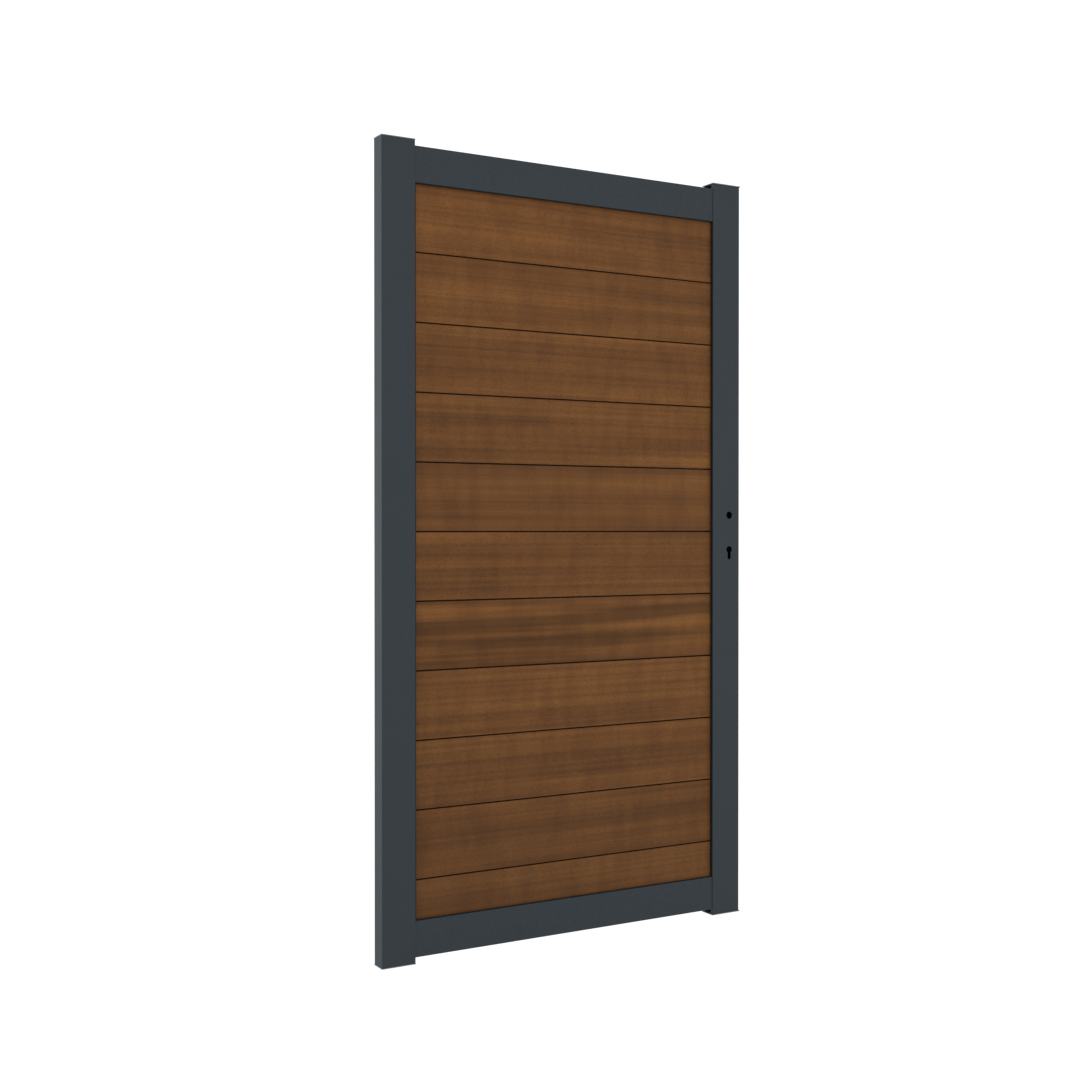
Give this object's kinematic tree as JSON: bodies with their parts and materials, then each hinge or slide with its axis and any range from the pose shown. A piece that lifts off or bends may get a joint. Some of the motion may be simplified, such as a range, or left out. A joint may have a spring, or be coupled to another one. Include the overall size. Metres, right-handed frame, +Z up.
{
  "type": "garden gate",
  "caption": "Pedestrian garden gate leaf: grooved aluminium frame, horizontal wood-grain boards, hidden end pivots and a mortice lock.",
  "frame": {"origin": "centre of the lower pivot spindle's end face, on the hinge axis", "axes": "+X from the hinge stile to the lock stile, +Y through the gate away from the front, +Z up along the hinge axis"},
  "size_m": [0.9775, 0.044, 1.802],
  "materials": {
    "powder_coat": "satin anthracite powder coat, fine texture",
    "cap_plastic": "satin moulded plastic",
    "board_wood": "oiled, straight horizontal grain",
    "seal_rubber": "matte extruded rubber",
    "block_plastic": "moulded",
    "mill_aluminium": "mill finish",
    "zinc_steel": "zinc plated",
    "black_zinc": "black passivated zinc plating",
    "stainless": "fine brushed",
    "bronze": "sintered",
    "spring_steel": "drawn wire",
    "washer_plastic": "turned acetal"
  },
  "bodies": {
    "pivots": {"lower_pivot_spindle": "stainless", "upper_pivot_spindle": "stainless", "lower_thrust_washer": "washer_plastic", "upper_thrust_washer": "washer_plastic", "pivot_retaining_rings": "spring_steel"},
    "leaf": {"hinge_stile": "powder_coat", "lock_stile": "powder_coat", "top_rail": "powder_coat", "bottom_rail": "powder_coat", "hinge_bottom_cap": "cap_plastic", "hinge_top_cap": "cap_plastic", "lock_bottom_cap": "cap_plastic", "lock_top_cap": "cap_plastic", "lower_pivot_plug": "mill_aluminium", "upper_pivot_plug": "mill_aluminium", "lower_pivot_bush": "bronze", "upper_pivot_bush": "bronze", "lower_anchor_block": "mill_aluminium", "upper_anchor_block": "mill_aluminium", "hinge_lower_connector": "mill_aluminium", "hinge_upper_connector": "mill_aluminium", "lock_lower_connector": "mill_aluminium", "lock_upper_connector": "mill_aluminium", "connector_bolts": "zinc_steel", "rail_screws": "stainless", "block_screws": "stainless", "hinge_side_seal": "seal_rubber", "lock_side_seal": "seal_rubber", "top_seal": "seal_rubber", "bottom_seal": "seal_rubber", "setting_blocks": "block_plastic", "lock_case": "black_zinc", "lock_cover": "black_zinc", "faceplate": "stainless", "latch_spring": "spring_steel", "deadbolt_detent": "spring_steel", "follower_spring": "spring_steel", "cover_screws": "zinc_steel", "faceplate_screws": "stainless", "fixing_lugs": "mill_aluminium", "lug_rivets": "mill_aluminium", "board_1": "board_wood", "board_2": "board_wood", "board_3": "board_wood", "board_4": "board_wood", "board_5": "board_wood", "board_6": "board_wood", "board_7": "board_wood", "board_8": "board_wood", "board_9": "board_wood", "board_10": "board_wood", "board_11": "board_wood"},
    "latch": {"latch_bolt": "zinc_steel"},
    "deadbolt": {"deadbolt": "zinc_steel"},
    "follower": {"follower": "black_zinc"}
  },
  "joints": [
    {"name": "leaf_swing", "type": "hinge", "parent": "pivots", "child": "leaf", "pos_m": [0, 0, 0], "axis": [0, 0, 1], "range_deg": [0, 100]},
    {"name": "handle_turn", "type": "hinge", "parent": "leaf", "child": "follower", "pos_m": [0.9085, 0, 0.986], "axis": [0, -1, 0], "range_deg": [0, 30], "stiffness_Nm_per_rad": 0.5, "springref_deg": -17.19, "deforming": ["follower_spring"]},
    {"name": "latch_slide", "type": "slide", "parent": "leaf", "child": "latch", "axis": [-1, 0, 0], "range_m": [0, 0.011], "deforming": ["latch_spring"]},
    {"name": "deadbolt_slide", "type": "slide", "parent": "leaf", "child": "deadbolt", "axis": [1, 0, 0], "range_m": [0, 0.02], "deforming": ["deadbolt_detent"]}
  ],
  "couplings": [
    {"joint": "handle_turn", "follows": "latch_slide", "rad_per_m": 47.6}
  ]
}
